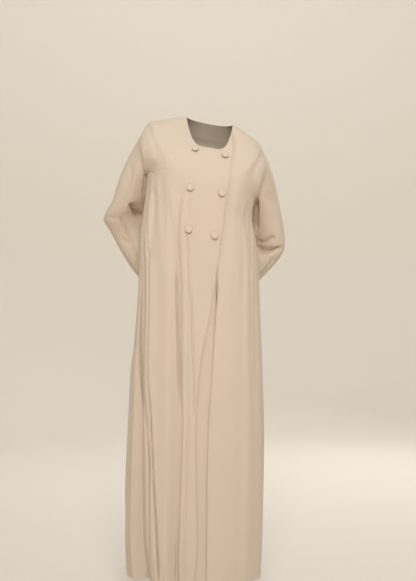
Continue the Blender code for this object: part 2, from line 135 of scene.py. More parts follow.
LAP_DEPTH = 6.0         # how far the under front lies inside the top front
LAP_RUN = 14.0          # degrees over which the under front sinks to that depth
LAP_CLEAR = 2.0         # degrees beyond the top front's edge where it is fully down
HIDDEN_RUN = 10.0       # degrees over which it then drops behind the top front's folds
HIDDEN_DEPTH = 8.0      # how far it lies behind the deepest of them
HIDDEN_COLUMNS = 22     # columns of the under front that lie under the top front

SHOULDER = 2            # section numbers of the armhole's ends
UNDERARM = 3
ARMHOLE_FRONT = 38.0    # degrees from the side to the armhole's front edge
ARMHOLE_BACK = 34.0
ARMHOLE_STEPS = 54      # rows from shoulder point to underarm
ARMHOLE_POINT = 1.4     # above 1, the armhole is more pointed at its ends than a circle

# Rings down a sleeve after the armhole. The outer and inner points are in the view from the
# front, middle and half_deep are measured from front to back.
Ring = namedtuple("Ring", "outer_x outer_z inner_x inner_z middle half_deep")
RIGHT_SLEEVE = [
    Ring(-203, -36, -201, -175, 3, 75),
    Ring(-229, -80, -208, -185, 12, 67),
    Ring(-258, -132, -210, -202, 22, 63),
    Ring(-284, -188, -211, -225, 37, 60),
    Ring(-304, -246, -214, -252, 55, 58),
    Ring(-327, -286, -220, -281, 75, 57),
    Ring(-334, -308, -226, -300, 90, 56),
    Ring(-316, -343, -229, -321, 103, 54),
    Ring(-290, -394, -213, -350, 116, 52),
    Ring(-256, -450, -184, -393, 128, 50),
    Ring(-219, -498, -150, -434, 139, 47),
    Ring(-180, -538, -116, -474, 148, 44),
]
LEFT_SLEEVE = [
    Ring(176, -112, 152, -252, 8, 75),
    Ring(190, -143, 157, -262, 18, 68),
    Ring(204, -185, 159, -280, 32, 63),
    Ring(216, -228, 159, -299, 46, 60),
    Ring(226, -272, 158, -318, 60, 58),
    Ring(234, -316, 157, -340, 74, 57),
    Ring(240, -360, 155, -361, 88, 57),
    Ring(240, -398, 152, -378, 100, 56),
    Ring(222, -432, 146, -390, 110, 54),
    Ring(190, -470, 128, -414, 123, 52),
    Ring(154, -508, 97, -447, 136, 48),
    Ring(112, -545, 54, -484, 149, 44),
]
SLEEVE_ROWS = 13        # rows of faces from one ring to the next

# The sleeves' inner side reaches in behind the body's side, from where the tuck begins to where
# it ends, in ring numbers.
TUCK_IN = 22.0
TUCK_BACK = 26.0
TUCK_BEGINS = 0.6
TUCK_ENDS = 10.0
TUCK_GROWTH = 1.6

# How much the shoulders are eased, so that no hump stands before their points
EASE_RIGHT = 70.0
EASE_LEFT = 30.0

# The cloth runs smoothly over the armholes' seams: how far from them, and how many times each
# point there moves towards the mean of its neighbours. Lower down they stay creased.
SOFT_REACH = 0.075
SOFT_ROUNDS = 130
SOFT_DOWN_TO = 2.72
CORNER_SOFTNESS = 0.12  # how much of this reaches the top of the shoulders
SOFT_SHARE = 0.6        # of the way to that mean, each time
SOFT_FACING = 0.7       # the cloth moves fully where it faces the front or back by this much

# Dents in a sleeve, round and pressed in by depth: ring number down the sleeve, turn in
# degrees from its outer side over the front, and reach along in rings and round in degrees.
Dent = namedtuple("Dent", "ring turn depth along round")
RIGHT_DENTS = [
    Dent(5.6, 140, 15, 1.0, 34),
    Dent(2.4, 60, 4, 1.6, 24),
    Dent(7.6, 60, 7, 0.7, 46),
]
LEFT_DENTS = [
    Dent(7.7, 120, 12, 0.6, 48),
    Dent(6.6, 150, 6, 0.6, 30),
    Dent(3.4, 50, 4, 1.4, 26),
]

# Creases that run along a path in a view, in x and height, or from a side in y and height. rise
# is how far the cloth stands out, or sinks where it is negative, before and after are how far
# the slope reaches to the path's two sides, and fade is the length over which the ends die out.
# On a path that runs down, after is on the side of the larger x or y.
Crease = namedtuple("Crease", "path rise before after fade")
SIDE_VALLEY = [
    (-211, -430), (-212, -536), (-211, -729), (-200, -865), (-189, -965), (-182, -1065), (-184, -1151),
    (-185, -1272), (-186, -1440),
]
TURNING_EDGE = [
    (-189, -262), (-189, -361), (-183, -473), (-184, -621), (-186, -776), (-175, -919), (-164, -1132),
    (-157, -1235), (-147, -1440),
]
LONG_FOLD = [
    (-127, -215), (-114, -327), (-103, -410), (-97, -518), (-94, -656), (-90, -793), (-83, -917),
    (-85, -994), (-88, -1097), (-92, -1199), (-97, -1339), (-99, -1440),
]
UNDER_CREASE = [
    (23, -440), (23, -536), (16, -620), (9, -724), (3, -825), (-4, -918), (-9, -1067), (-10, -1230),
    (-11, -1450),
]
# cloth that runs full over the armholes' front edges, on the body and the sleeve alike
FULL_RIGHT = ([(-172, -46), (-173, -75), (-170, -105), (-167, -135), (-169, -156)], 6.5, 17, 13, 28)
FULL_LEFT = ([(157, -120), (150, -160), (147, -195)], 2.5, 12, 12, 26)
BODY_CREASES = {
    "front": [
        FULL_RIGHT,
        FULL_LEFT,
        # side strip's deep valley, and the front's turning edge beside it
        (SIDE_VALLEY, -10, 2.8, 3.4, 90),
        (SIDE_VALLEY, -4, 3, 10, 80),
        (TURNING_EDGE, -6, 3, 2.6, 90),
        (TURNING_EDGE[4:], -3, 2.2, 2.2, 90),
        ([(x + 6, z) for x, z in TURNING_EDGE], 3.5, 4, 20, 60),
        ([(-169, -216), (-171, -328), (-179, -407), (-181, -464)], -5, 4, 12, 40),
        # long fold down the right front, with its ridge
        (LONG_FOLD[2:], -7, 2.6, 3, 110),
        (LONG_FOLD, -2.6, 26, 5, 90),
        ([(x + 15, z) for x, z in LONG_FOLD], 2, 9, 12, 150),
        # pressed line under the third pair of buttons, and a faint one above it
        ([(-63, -360), (-59, -482), (-52, -587), (-49, -688), (-45, -792), (-44, -917)], -4, 2.4, 3.5, 26),
        ([(-57, -238), (-59, -292), (-62, -340)], -1.8, 2.6, 4, 20),
        # soft folds from the chest
        ([(-168, -120), (-169, -182), (-168, -290)], -2.2, 9, 10, 60),
        ([(-148, -160), (-141, -245), (-136, -339), (-135, -430)], -1.8, 7, 9, 70),
        ([(-155, -190), (-152, -280), (-150, -380)], 1.0, 7, 8, 45),
        ([(-168, -177), (-151, -168), (-123, -171)], -0.8, 3, 4, 14),
        ([(-186, -172), (-176, -172), (-166, -178)], -2.5, 3, 4, 8),
        # the under front's deep crease
        (UNDER_CREASE, -12, 3, 2.4, 130),
        (UNDER_CREASE, -5, 9, 2.2, 160),
        # soft folds down the left front
        ([(98, -250), (102, -334), (107, -446), (104, -590)], -3.2, 8, 9, 70),
        ([(123, -285), (127, -363), (127, -445), (121, -560)], -2, 3, 6, 50),
        ([(136, -360), (139, -500), (141, -652), (142, -803)], -1.8, 3, 7, 70),
        ([(91, -760), (88, -949), (94, -1159), (97, -1420)], -1.2, 16, 14, 120),
        ([(44, -560), (48, -800), (46, -1060)], -1.6, 20, 18, 160),
    ],
    "right": [
        ([(-24, -330), (-30, -520), (-34, -760), (-40, -1010)], -5, 5, 16, 90),
        ([(22, -300), (28, -560), (30, -870), (36, -1180), (38, -1440)], -7, 18, 4, 110),
        ([(70, -420), (80, -700), (92, -1020), (96, -1300)], -5, 6, 18, 110),
        ([(-6, -690), (-4, -960), (2, -1240)], 4, 5, 15, 90),
    ],
    "left": [
        ([(-30, -400), (-32, -640), (-38, -930), (-40, -1180)], -5, 16, 4, 100),
        ([(14, -330), (20, -600), (18, -880)], -6, 4, 15, 90),
        ([(62, -460), (74, -760), (82, -1100), (86, -1440)], -6, 5, 20, 110),
    ],
    "back": [
        ([(-120, -250), (-118, -420), (-124, -640), (-128, -930)], -5, 5, 20, 90),
        ([(-60, -330), (-66, -560), (-72, -840), (-74, -1180), (-76, -1440)], -6, 20, 5, 110),
        ([(-14, -190), (-18, -380), (-16, -560)], -3, 8, 9, 80),
        ([(18, -420), (24, -700), (30, -1010), (33, -1440)], 4, 4, 20, 120),
        ([(62, -300), (66, -520), (76, -800), (84, -1120)], -5, 6, 18, 100),
        ([(108, -380), (116, -640), (122, -960), (126, -1440)], -7, 18, 5, 120),
        ([(-162, -205), (-138, -224), (-104, -262)], -4, 5, 8, 26),
        ([(-166, -232), (-146, -262), (-126, -312)], -3, 4, 7, 26),
        ([(104, -268), (82, -282), (52, -312)], -3.5, 5, 8, 26),
        ([(-96, -66), (-34, -78), (36, -96)], -1.6, 7, 9, 40),
    ],
}
RIGHT_SLEEVE_CREASES = {
    "front": [
        FULL_RIGHT,
        ([(-235, -125), (-244, -180), (-258, -242), (-270, -281)], -4, 9, 9, 35),
        ([(-248, -256), (-240, -276), (-229, -293), (-206, -306)], -22, 5, 16, 22),
        ([(-284, -298), (-274, -315), (-255, -359), (-242, -396), (-223, -446)], -8, 4, 8, 22),
        ([(-280, -362), (-266, -376), (-247, -388)], -4.5, 4, 5, 12),
        ([(-190, -168), (-197, -176), (-201, -205), (-204, -240)], -6, 3, 5, 16),
        ([(-322, -296), (-303, -305), (-285, -307)], -2.5, 5, 6, 14),
        ([(-236, -420), (-214, -462), (-190, -500)], -3, 5, 8, 24),
    ],
    "right": [
        ([(34, -120), (38, -190), (52, -262)], -3.5, 7, 9, 35),
        ([(84, -190), (92, -240), (104, -280)], -4, 5, 9, 26),
    ],
    "back": [
        ([(-326, -290), (-296, -306), (-262, -304)], -6, 6, 9, 18),
        ([(-318, -322), (-292, -340), (-264, -342)], -5, 5, 9, 18),
        ([(-298, -250), (-270, -268), (-246, -268)], -4, 6, 8, 18),
        ([(-226, -110), (-236, -170), (-246, -226)], -3.5, 8, 9, 35),
        ([(-262, -372), (-230, -412), (-200, -452)], -4, 6, 9, 26),
    ],
}
LEFT_SLEEVE_CREASES = {
    "front": [
        FULL_LEFT,
        ([(166, -234), (191, -255), (222, -272)], -3, 8, 9, 22),
        ([(146, -378), (168, -382), (188, -376), (210, -360)], -10, 5, 8, 14),
        ([(140, -394), (158, -400), (174, -407), (199, -406), (236, -396)], -17, 6, 7, 14),
        ([(206, -424), (183, -463), (160, -490)], -6, 4, 5, 18),
        ([(149, -240), (150, -285), (150, -318), (149, -360)], -28, 16, 3.4, 34),
        ([(196, -290), (206, -330), (208, -362)], -2.5, 9, 9, 26),
    ],
    "left": [
        ([(44, -180), (50, -250), (62, -320)], -3.5, 8, 9, 35),
        ([(92, -270), (100, -320), (112, -372)], -4, 6, 8, 26),
    ],
    "back": [
        ([(236, -372), (208, -384), (176, -376)], -6, 6, 9, 18),
        ([(230, -404), (204, -416), (176, -408)], -5, 6, 9, 18),
        ([(214, -330), (190, -342), (170, -338)], -4, 6, 8, 18),
        ([(176, -170), (188, -230), (196, -290)], -3.5, 8, 9, 35),
        ([(190, -446), (158, -476), (128, -500)], -4, 6, 9, 26),
    ],
}

# Each body panel's first and last fold line, and how far an armhole cuts in beside them
PANELS = {
    "front_right": ("right_side", "button_line", ARMHOLE_FRONT, 0),
    "front_left": ("strip", "left_side", 0, ARMHOLE_FRONT),
    "back": ("left_side", "right_side_again", ARMHOLE_BACK, ARMHOLE_BACK),
}
# Each sleeve's turn round the body, rings, dents and creases
SLEEVES = {
    "sleeve_right": (-90, RIGHT_SLEEVE, RIGHT_DENTS, RIGHT_SLEEVE_CREASES),
    "sleeve_left": (90, LEFT_SLEEVE, LEFT_DENTS, LEFT_SLEEVE_CREASES),
}
UNEVENNESS = 0.5        # how far the cloth wanders everywhere

# Sewing: how far its lines lie from the cloth's edges, how deep they sink and how wide they are.
# The stitches' sizes are in metres.
SEAM_DEPTH = 0.5
ARMHOLE_DEPTH = 0.05
SEAM_WIDTH = 1.8
EDGE_ROLL = 0.8
FREE_EDGE_ROLL = 0.4
NECK_LINE = 7.0
HEM_DEPTH = 28.0
CUFF_DEPTH = 24.0
STITCH_LENGTH = 0.0022
STITCH_RADIUS = 0.00028
NECK_STITCH_STEP = 0.0034
HEM_STITCH_STEP = 0.0072

# Buttons: x and height of their middles. They hang a little, with their lower rim off the cloth.
BUTTONS = [(-41, -107), (48, -126), (-56, -225), (38, -241), (-61, -350), (17, -368)]
BUTTON_TILT = 7.0
BUTTON_LIFT = 0.0018    # metres between the cloth and the rim
BUTTON_REACH = 0.8      # share of the radius at which the cloth below is felt for
SHANK = 0.6             # how far the shank reaches into the cloth, in heights of the button
GATHERS = 16            # pleats round a button's rim
GATHER_DEPTH = 0.018
GATHER_HEIGHT = 0.55
# A button's outline from its shank to its dome: distance from its middle in radii, and height
BUTTON_SIDE = [
    (0.0, -SHANK), (0.28, -SHANK), (0.3, 0.0), (0.66, 0.02), (0.87, 0.07),
    (0.96, 0.16), (1.0, 0.3), (1.0, 0.5), (0.96, 0.68),
]
DOME_ANGLES = (0.25, 0.5, 0.75, 1.0, 1.25, 1.45)

# Each light's place, aim, side, power and colour
LIGHTS = {
    "key": ((0.08, -3.0, 1.15), (0, 0, -0.7), 0.9, 61.0, (1.0, 0.985, 0.965)),
    "overhead": ((0, -0.6, 3.0), (0, 0, -0.6), 4.5, 12.0, (1.0, 0.99, 0.98)),
    "wall wash": ((0, 1.9, 2.5), (0, 5.0, 0.6), 2.5, 50.0, (1.0, 0.99, 0.97)),
    "back": ((1.5, 3.0, 0.7), (0, 0, -0.6), 1.6, 30.0, (1.0, 0.99, 0.98)),
}


def mix(a, b, share):
    return a + (b - a) * share


def ease(share):
    share = np.clip(share, 0.0, 1.0)
    return share * share * (3 - 2 * share)


def rows_between(table, places):
    """Rows of a table at places between its rows, on a smooth curve through all of them."""
    last = len(table) - 1
    places = np.clip(places, 0, last)
    first = np.minimum(places.astype(int), last - 1)
    before, start, end, after = (table[np.clip(first + step, 0, last)] for step in (-1, 0, 1, 2))
    share = (places - first).reshape(places.shape + (1,) * (table.ndim - 1))
    rise_in, rise_out = (end - before) / 2, (after - start) / 2
    curve = (3 * (end - start) - 2 * rise_in - rise_out) * share**2
    return start + rise_in * share + curve + (2 * (start - end) + rise_in + rise_out) * share**3


def section_at(level):
    """The section's values at each level, as arrays of the level's own shape."""
    values = rows_between(SECTION_NUMBERS, np.asarray(level, float))
    return Section(*np.moveaxis(values, -1, 0))


def signed_power(value, power):
    return np.sign(value) * np.abs(value) ** power


def fold_turn_and_out(fold, level):
    """Where a fold line runs at a level, and how far the cloth stands out there."""
    places = (CHEST_LEVEL, THIGH_LEVEL, HEM_LEVEL)
    turn = np.interp(level, places, (fold.chest, fold.thigh, fold.hem))
    out = np.interp(level, places, (fold.chest_out, fold.thigh_out, fold.hem_out))
    if fold.name in WANDERING_FOLDS:
        turn = turn + rows_between(FOLD_WANDER, np.asarray(level, float))
    return turn, out * ease((level - fold.begins) / FOLD_GROWTH)


def stands_out(turn, level):
    """How far the folds push the cloth out at a turn round the body."""
    turn = (turn + 90) % 360 - 90
    out = np.zeros(np.broadcast(turn, level).shape)
    here, out_here = fold_turn_and_out(FOLDS[0], level)
    for fold in FOLDS[1:]:
        before, out_before = here, out_here
        here, out_here = fold_turn_and_out(fold, level)
        between = (turn > before) & (turn <= here)
        raised = mix(out_before, out_here, ease((turn - before) / (here - before)))
        out = np.where(between, raised, out)
    return out


def plain_ring(section, turn):
    """Points of the rings without folds, in the plan."""
    angle = np.radians(turn)
    depth = np.where(np.cos(angle) > 0, section.front_depth, section.back_depth)
    x = section.middle + section.half_width * signed_power(np.sin(angle), section.corner)
    return x, -depth * signed_power(np.cos(angle), section.corner)


def shoulder_ease(turn, level):
    """How much higher the cloth lies just below the shoulders' points, and lower just above."""
    off = np.clip(level - SHOULDER, -1.0, 1.0)
    side = np.sin(np.radians(turn))
    amount = np.where(side < 0, EASE_RIGHT, EASE_LEFT) * side**2
    return amount * off * (1 - np.abs(off)) ** 2


def cloth_points(turn, level):
    """Points of the garment's outer surface."""
    section = section_at(level)
    x, y = plain_ring(section, turn)
    x_after, y_after = plain_ring(section, turn + 1)
    x_before, y_before = plain_ring(section, turn - 1)
    run_x, run_y = x_after - x_before, y_after - y_before
    run = np.hypot(run_x, run_y)
    out = stands_out(turn, level)
    angle = np.radians(turn)
    end_height = np.where(np.cos(angle) > 0, section.front, section.back)
    z = mix(section.side, end_height, 1 - (np.sin(angle) ** 2) ** section.hold)
    z = z + section.tilt * (x - section.middle) / section.half_width + shoulder_ease(turn, level)
    return np.stack((x + out * run_y / run, y - out * run_x / run, z), axis=-1) * MM


def unit(vectors):
    return vectors / np.linalg.norm(vectors, axis=-1, keepdims=True)


def cloth_normals(turn, level):
    step = 0.02
    high, low = np.clip(level - step, 0, HEM_LEVEL), np.clip(level + step, 0, HEM_LEVEL)
    down = cloth_points(turn, low) - cloth_points(turn, high)
    along = cloth_points(turn + 1, level) - cloth_points(turn - 1, level)
    return unit(np.cross(down, along))


def lap(turn, level):
    """How deep the under front lies at a turn: just under the top front's edge, and flat
    behind the deepest of its folds further in."""
    edge = section_at(level).edge
    shallow = LAP_DEPTH * ease((edge + LAP_CLEAR + LAP_RUN - turn) / LAP_RUN)
    deepest = fold_turn_and_out(FOLDS[FOLD_NAMES.index("long_hollow")], level)[1]
    flat = stands_out(turn, level) - deepest + HIDDEN_DEPTH
    return mix(shallow, flat, ease((edge - turn) / HIDDEN_RUN))


def body_levels():
    """Levels of the rows from neck to hem, the armhole's spaced like points on a circle."""
    levels = []
    for number, section in enumerate(SECTIONS[:-1]):
        rows = np.arange(section.rows) / section.rows
        if number == SHOULDER:
            rows = (1 - np.cos(np.pi * rows)) / 2
        levels += list(number + rows)
    last_drop = SECTIONS[-2].side - SECTIONS[-1].side
    hem_line, step = HEM_LEVEL - HEM_DEPTH / last_drop, SEAM_WIDTH / last_drop
    levels += [hem_line - step, hem_line, hem_line + step, HEM_LEVEL - step, HEM_LEVEL]
    return np.array(sorted(levels))


def armhole_width(level):
    """The share of the armhole's half width that is open at a level."""
    height = 2 * (np.clip(level, SHOULDER, UNDERARM) - SHOULDER) - 1
    return np.sqrt(np.maximum(0.0, 1 - height**2)) ** ARMHOLE_POINT


def guide_places(counts):
    """Places of the columns between guide lines, closer together beside the panel's edges."""
    places = []
    for number, count in enumerate(counts):
        places += list(number + np.arange(count) / count)
    places.append(len(counts))
    first, last = 1 / counts[0], 1 / counts[-1]
    near = (0.2, 0.5)
    places = places[:1] + [first * share for share in near] + places[1:-1]
    end = len(counts)
    return np.array(places + [end - last * share for share in reversed(near)] + [end])


def panel_turns(lines, counts, levels, first_armhole, last_armhole):
    """Turn of every point of a panel, row by row, from the turns of its guide lines."""
    lines = np.stack([np.broadcast_to(line, levels.shape) for line in lines], axis=-1)
    places = guide_places(counts)
    left = np.minimum(places.astype(int), lines.shape[1] - 2)
    share = places - left
    share = share - COLUMN_CROWDING * np.sin(2 * np.pi * share) / (2 * np.pi)
    turns = mix(lines[:, left], lines[:, left + 1], share)
    low, high = turns[:, :1], turns[:, -1:]
    open_share = armhole_width(levels)[:, None]
    new_low, new_high = low + first_armhole * open_share, high - last_armhole * open_share
    return new_low + (turns - low) * (new_high - new_low) / (high - low)


def lengths_down(points):
    """Distance of every point of a grid from its first row, along the cloth."""
    steps = np.linalg.norm(np.diff(points, axis=0), axis=-1)
    return np.concatenate((np.zeros((1, points.shape[1])), np.cumsum(steps, axis=0)))


def lengths_across(points):
    return lengths_down(points.swapaxes(0, 1)).swapaxes(0, 1)


def path_distance(across, up, path):
    """Signed distance of points from a path in a view, and how far along the path they lie."""
    best = np.full(across.shape, 1e9)
    side, along = np.zeros(across.shape), np.zeros(across.shape)
    start_length = 0.0
    for (x0, z0), (x1, z1) in zip(path, path[1:]):
        length = hypot(x1 - x0, z1 - z0)
        way_x, way_z = (x1 - x0) / length, (z1 - z0) / length
        reach = (across - x0) * way_x + (up - z0) * way_z
        held = np.clip(reach, 0, length)
        off_x, off_z = across - x0 - held * way_x, up - z0 - held * way_z
        off = np.hypot(off_x, off_z)
        nearer = off < best
        best = np.where(nearer, off, best)
        side = np.where(nearer, np.sign(way_x * off_z - way_z * off_x), side)
        along = np.where(nearer, start_length + reach, along)
        start_length += length
    return best * side, along, start_length


# Each view's axis across, and the way towards it
VIEWS = {
    "front": (0, (0, -1, 0)),
    "back": (0, (0, 1, 0)),
    "right": (1, (-1, 0, 0)),
    "left": (1, (1, 0, 0)),
}
CREASE_FACING = 0.45    # a crease is full where the cloth faces its view by this much
PATH_STEPS = 6          # straight parts between two points of a rounded path


def rounded_path(path):
    """A path with its corners rounded, through the same points."""
    places = np.linspace(0, len(path) - 1, (len(path) - 1) * PATH_STEPS + 1)
    return rows_between(np.array(path, float), places)


def crease_rise(points, normals, creases):
    """How far the creases push each point out along its normal, in metres."""
    rise = np.zeros(len(points))
    for view, rows in creases.items():
        axis, facing = VIEWS[view]
        across, up = points[:, axis] / MM, points[:, 2] / MM
        facing_it = normals @ np.array(facing, float)
        for crease in (Crease(*row) for row in rows):
            path = rounded_path(crease.path)
            reach = 3 * max(crease.before, crease.after)
            low_across, low_up = path.min(axis=0) - reach
            high_across, high_up = path.max(axis=0) + reach
            near = (facing_it > 0) & (across > low_across) & (across < high_across)
            near &= (up > low_up) & (up < high_up)
            off, along, length = path_distance(across[near], up[near], path)
            width = np.where(off < 0, crease.before, crease.after)
            grown = ease(along / crease.fade) * ease((length - along) / crease.fade)
            push = grown * np.exp(-((off / width) ** 2)) * ease(facing_it[near] / CREASE_FACING)
            rise[near] += crease.rise * MM * push
    return rise


def groove(distance, middle, depth):
    """A sewn line's groove, from distances in metres."""
    return -depth * MM * np.exp(-(((distance / MM - middle) / SEAM_WIDTH) ** 2))


def sewn_rise(name, points):
    """How far seams, hems and rolled edges move each point of a piece out, in metres."""
    down = lengths_down(points)
    up = down[-1:] - down
    if name in SLEEVES:
        rise = groove(down, 0, ARMHOLE_DEPTH) + groove(up, 0, EDGE_ROLL)
        return rise + groove(up, CUFF_DEPTH, SEAM_DEPTH)
    across = lengths_across(points)
    from_end = across[:, -1:] - across
    levels = body_levels()[:, None]
    first = last = np.where((levels > SHOULDER) & (levels < UNDERARM), ARMHOLE_DEPTH, SEAM_DEPTH)
    if name == "front_right":
        last = FREE_EDGE_ROLL
    if name == "front_left":
        first = EDGE_ROLL
    rise = groove(across, 0, first) + groove(from_end, 0, last)
    rise += groove(down, 0, EDGE_ROLL) + groove(down, NECK_LINE, SEAM_DEPTH)
    return rise + groove(up, 0, EDGE_ROLL) + groove(up, HEM_DEPTH, SEAM_DEPTH)


def wander(points):
    """Slow unevenness of hanging cloth, longer than it is wide."""
    x, y, z = np.moveaxis(points, -1, 0)
    rise = np.sin(23 * x + 3.1 * z + 0.7) * np.sin(17 * y - 2.3 * z + 1.9)
    rise += 0.7 * np.sin(41 * x - 5.3 * z + 2.2) * np.sin(31 * y + 4.1 * z + 0.3)
    rise += 0.4 * np.sin(67 * x + 9.7 * z + 4.0) * np.sin(53 * y - 7.9 * z + 5.1)
    return rise * UNEVENNESS * MM


def outward_normals(name, points):
    """Outward normals of a piece's points. The rows of a sleeve are rings."""
    down, along = np.gradient(points, axis=0), np.gradient(points, axis=1)
    if name in SLEEVES:
        along = np.roll(points, -1, axis=1) - np.roll(points, 1, axis=1)
    facing = unit(np.cross(down, along))
    return -facing if name == "sleeve_left" else facing


SHARP_ANGLE = 60.0
MERGE = 0.00001
SEWN_NORMAL = "sewn_normal"


def new_piece(builder, name, material):
    """A smooth object with the builder's faces and a material."""
    mesh = bpy.data.meshes.new(name)
    builder.to_mesh(mesh)
    builder.free()
    mesh.shade_smooth()
    mesh.materials.append(material)
    piece = bpy.data.objects.new(name, mesh)
    bpy.context.scene.collection.objects.link(piece)
    return piece


def closed_up(grid):
    """A sleeve's grid with its first column again at its end."""
    return np.concatenate((grid, grid[:, :1]), axis=1)


def cloth_mesh(name, points, facing, middle, outward):
    """A sheet of cloth whose faces follow a grid of points, with its own lengths as UV. It faces
    outward at its middle."""
    builder = bmesh.new()
    uv = builder.loops.layers.uv.new("cloth")
    sewn = builder.verts.layers.float_vector.new(SEWN_NORMAL)
    if name in SLEEVES:
        points, facing = closed_up(points), closed_up(facing)
    rows, columns = points.shape[:2]
    bmesh.ops.create_grid(builder, x_segments=columns - 1, y_segments=rows - 1, size=0.5)
    across = lengths_across(points)
    across = across - across[:, columns // 2][:, None]
    down = lengths_down(points)
    places = {}
    for vertex in builder.verts:
        column = round((vertex.co.x + 0.5) * (columns - 1))
        row = round((0.5 - vertex.co.y) * (rows - 1))
        places[vertex] = row, column
        vertex.co = points[row, column]
        vertex[sewn] = facing[row, column]
    for face in builder.faces:
        for loop in face.loops:
            row, column = places[loop.vert]
            loop[uv].uv = across[row, column], -down[row, column]
    if name in SLEEVES:
        bmesh.ops.remove_doubles(builder, verts=builder.verts, dist=MERGE)
    builder.normal_update()
    nearest = min(builder.faces, key=lambda face: (face.calc_center_median() - middle).length)
    if nearest.normal.dot(outward) < 0:
        bmesh.ops.reverse_faces(builder, faces=builder.faces)
    return new_piece(builder, f"{name}_cloth", crepe())


def give_wall(piece, thickness):
    """The cloth's wall, inwards from its outer face, with its cut edges set off sharply. Where
    pieces are sewn together, they share their normals, so that the cloth looks whole."""
    outer_corners = len(piece.data.loops)
    wall = piece.modifiers.new("wall", "SOLIDIFY")
    wall.thickness = thickness
    wall.offset = -1
    graph = bpy.context.evaluated_depsgraph_get()
    walled = bpy.data.meshes.new_from_object(piece.evaluated_get(graph), depsgraph=graph)
    piece.modifiers.remove(wall)
    piece.data = walled
    walled.shade_smooth()
    walled.set_sharp_from_angle(angle=radians(SHARP_ANGLE))
    sewn = walled.attributes[SEWN_NORMAL]
    facing = np.zeros(len(walled.vertices) * 3, np.float32)
    sewn.data.foreach_get("vector", facing)
    corners = np.zeros(len(walled.loops), np.int32)
    walled.loops.foreach_get("vertex_index", corners)
    normals = np.zeros((len(corners), 3), np.float32)
    normals[:outer_corners] = facing.reshape(-1, 3)[corners[:outer_corners]]
    walled.attributes.remove(sewn)
    walled.normals_split_custom_set(normals.tolist())


def attach(piece, node):
    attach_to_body(piece, "root")
    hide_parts(node)


def sizes():
    return bpy.context.scene.abaya_sizes


def looks():
    return bpy.context.scene.abaya_looks


def panel_points(name):
    """Points of a body panel, before its creases."""
    first, last, first_armhole, last_armhole = PANELS[name]
    folds = FOLDS[FOLD_NAMES.index(first) : FOLD_NAMES.index(last) + 1]
    levels = body_levels()
    guides = [fold_turn_and_out(fold, levels)[0] for fold in folds]
    counts = [fold.columns for fold in folds[:-1]]
    if name == "front_right":
        guides.append(section_at(levels).edge)
        counts.append(folds[-1].columns)
    if name == "front_left":
        guides.insert(0, section_at(levels).under)
        counts.insert(0, HIDDEN_COLUMNS)
    turns = panel_turns(guides, counts, levels, first_armhole, last_armhole)
    levels = np.broadcast_to(levels[:, None], turns.shape)
    points = cloth_points(turns, levels)
    if name == "front_left":
        points -= cloth_normals(turns, levels) * (lap(turns, levels) * MM)[..., None]
    return points


def armhole_points(side_turn, inwards):
    """The armhole's edge, down the front and up the back."""
    steps = np.arange(ARMHOLE_STEPS + 1)
    levels = SHOULDER + (1 - np.cos(np.pi * steps / ARMHOLE_STEPS)) / 2 * (UNDERARM - SHOULDER)
    open_share = inwards * armhole_width(levels)
    down, up = side_turn + ARMHOLE_FRONT * open_share, side_turn - ARMHOLE_BACK * open_share
    turns = np.concatenate((down, up[-2:0:-1]))
    return cloth_points(turns, np.concatenate((levels, levels[-2:0:-1])))


def sleeve_points(name):
    """Points of a sleeve before its creases, from its armhole to its cuff."""
    side_turn, rings, dents, _ = SLEEVES[name]
    inwards = 1 if side_turn < 0 else -1
    armhole = armhole_points(side_turn, inwards)
    angle = 2 * np.pi * np.arange(len(armhole)) / len(armhole)
    guide_rings = [armhole]
    for number, ring in enumerate(rings, 1):
        tucked = ease((number - TUCK_BEGINS) / TUCK_GROWTH) * ease((TUCK_ENDS - number) / TUCK_GROWTH)
        inner_x = ring.inner_x + inwards * TUCK_IN * tucked
        outer = np.array((ring.outer_x, ring.middle, ring.outer_z), float)
        inner = np.array((inner_x, ring.middle + TUCK_BACK * tucked, ring.inner_z), float)
        out, front = (outer - inner) / 2, np.array((0, -ring.half_deep, 0))
        line = (outer + inner) / 2 + np.outer(np.cos(angle), out) + np.outer(np.sin(angle), front)
        guide_rings.append(line * MM)
    places = np.linspace(0, len(rings), len(rings) * SLEEVE_ROWS + 1)
    points = rows_between(np.array(guide_rings), places)
    pressed = np.zeros(points.shape[:-1])
    for dent in dents:
        off = ((np.degrees(angle) - dent.turn + 180) % 360 - 180) / dent.round
        along = (places - 1 - dent.ring) / dent.along
        pressed += dent.depth * MM * np.exp(-(off[None, :] ** 2) - along[:, None] ** 2)
    return points - outward_normals(name, points) * pressed[..., None]


def sewn_together(grids):
    """Numbers for the points of all pieces, the same where two pieces are sewn together."""
    numbers, total = {}, 0
    for name, grid in grids.items():
        rows, columns = grid.shape[:2]
        numbers[name] = np.arange(total, total + rows * columns).reshape(rows, columns)
        total += rows * columns
    right, left, back = numbers["front_right"], numbers["front_left"], numbers["back"]
    first = int(np.searchsorted(body_levels(), SHOULDER))
    around = np.arange(first, first + ARMHOLE_STEPS + 1)
    outside = np.setdiff1d(np.arange(len(back)), around[1:-1])
    back[outside, -1] = right[outside, 0]
    back[outside, 0] = left[outside, -1]
    up = around[-2:0:-1]
    numbers["sleeve_right"][0] = np.concatenate((right[around, 0], back[up, -1]))
    numbers["sleeve_left"][0] = np.concatenate((left[around, -1], back[up, 0]))
    soft_rows = around[body_levels()[around] < SOFT_DOWN_TO]
    edges = (right[:, 0], back[:, -1], left[:, -1], back[:, 0])
    return numbers, total, np.concatenate([edge[soft_rows] for edge in edges])


